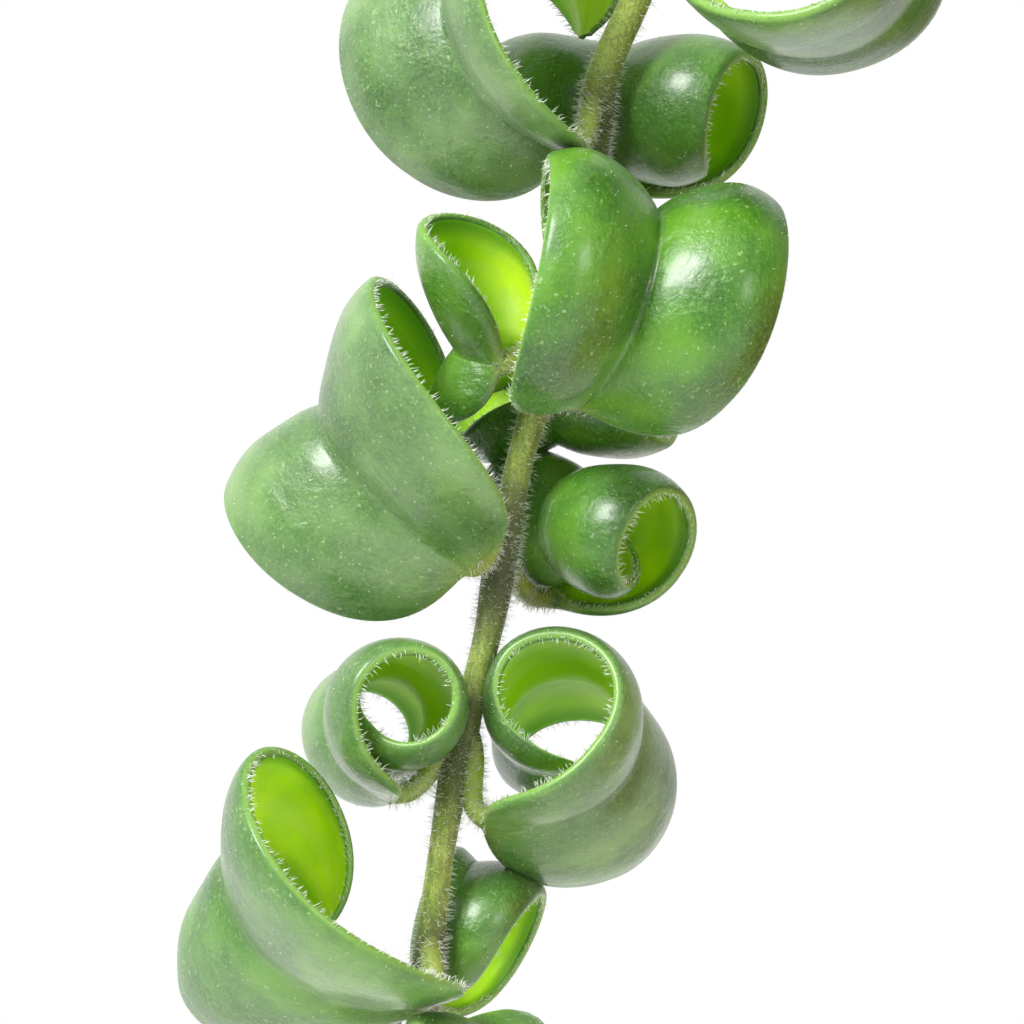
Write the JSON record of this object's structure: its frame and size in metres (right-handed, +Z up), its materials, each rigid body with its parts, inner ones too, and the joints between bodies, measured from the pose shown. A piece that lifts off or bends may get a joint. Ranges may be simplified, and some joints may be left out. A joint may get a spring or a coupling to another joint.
{
  "type": "potted rasta lipstick plant",
  "caption": "Curly-leaved climbing plant in a plain round pot, with arching stems of thick, tightly rolled paired leaves and one long stem hanging beside the pot",
  "frame": {"origin": "centre of the pot's flat underside, on the surface it stands on", "axes": "+Z up, the long hanging stem on the -X side, the pictured side of it facing -Y"},
  "size_m": [0.2022, 0.1678, 0.1652],
  "materials": {
    "pot": "plain terracotta colour, matte, slightly mottled",
    "soil": "dark brown granular potting soil",
    "stem": "olive to yellow-green, covered in short white hairs",
    "leaf": "waxy mid green outside, bright lime inside, fine white hairs along the margins"
  },
  "bodies": {
    "root": {"leaf_back_pair1_one": "leaf", "leaf_back_pair1_two": "leaf", "leaf_back_pair2_one": "leaf", "leaf_back_pair2_two": "leaf", "leaf_back_pair3_one": "leaf", "leaf_back_pair3_two": "leaf", "leaf_back_pair4_one": "leaf", "leaf_back_pair4_two": "leaf", "leaf_back_right_pair1_one": "leaf", "leaf_back_right_pair1_two": "leaf", "leaf_back_right_pair2_one": "leaf", "leaf_back_right_pair2_two": "leaf", "leaf_back_right_pair3_one": "leaf", "leaf_back_right_pair3_two": "leaf", "leaf_back_right_pair4_one": "leaf", "leaf_back_right_pair4_two": "leaf", "leaf_front_pair1_one": "leaf", "leaf_front_pair1_two": "leaf", "leaf_front_pair2_one": "leaf", "leaf_front_pair2_two": "leaf", "leaf_front_pair3_one": "leaf", "leaf_front_pair3_two": "leaf", "leaf_front_pair4_one": "leaf", "leaf_front_pair4_two": "leaf", "leaf_front_right_pair1_one": "leaf", "leaf_front_right_pair1_two": "leaf", "leaf_front_right_pair2_one": "leaf", "leaf_front_right_pair2_two": "leaf", "leaf_front_right_pair3_one": "leaf", "leaf_front_right_pair3_two": "leaf", "leaf_front_right_pair4_one": "leaf", "leaf_front_right_pair4_two": "leaf", "leaf_hanging_a_back": "leaf", "leaf_hanging_a_front": "leaf", "leaf_hanging_b_back": "leaf", "leaf_hanging_b_front": "leaf", "leaf_hanging_b_left": "leaf", "leaf_hanging_c_back": "leaf", "leaf_hanging_c_front": "leaf", "leaf_hanging_d_left": "leaf", "leaf_hanging_d_right": "leaf", "leaf_hanging_e_back": "leaf", "leaf_hanging_e_front": "leaf", "leaf_hanging_n_right": "leaf", "leaf_hanging_pair1_one": "leaf", "leaf_hanging_pair1_two": "leaf", "leaf_hanging_pair2_one": "leaf", "leaf_hanging_pair2_two": "leaf", "leaf_hanging_pair3_one": "leaf", "leaf_hanging_pair3_two": "leaf", "leaf_hanging_pair4_one": "leaf", "leaf_hanging_pair4_two": "leaf", "pot": "pot", "soil": "soil", "stem_back": "stem", "stem_back_right": "stem", "stem_front": "stem", "stem_front_right": "stem", "stem_hanging": "stem"}
  },
  "joints": []
}
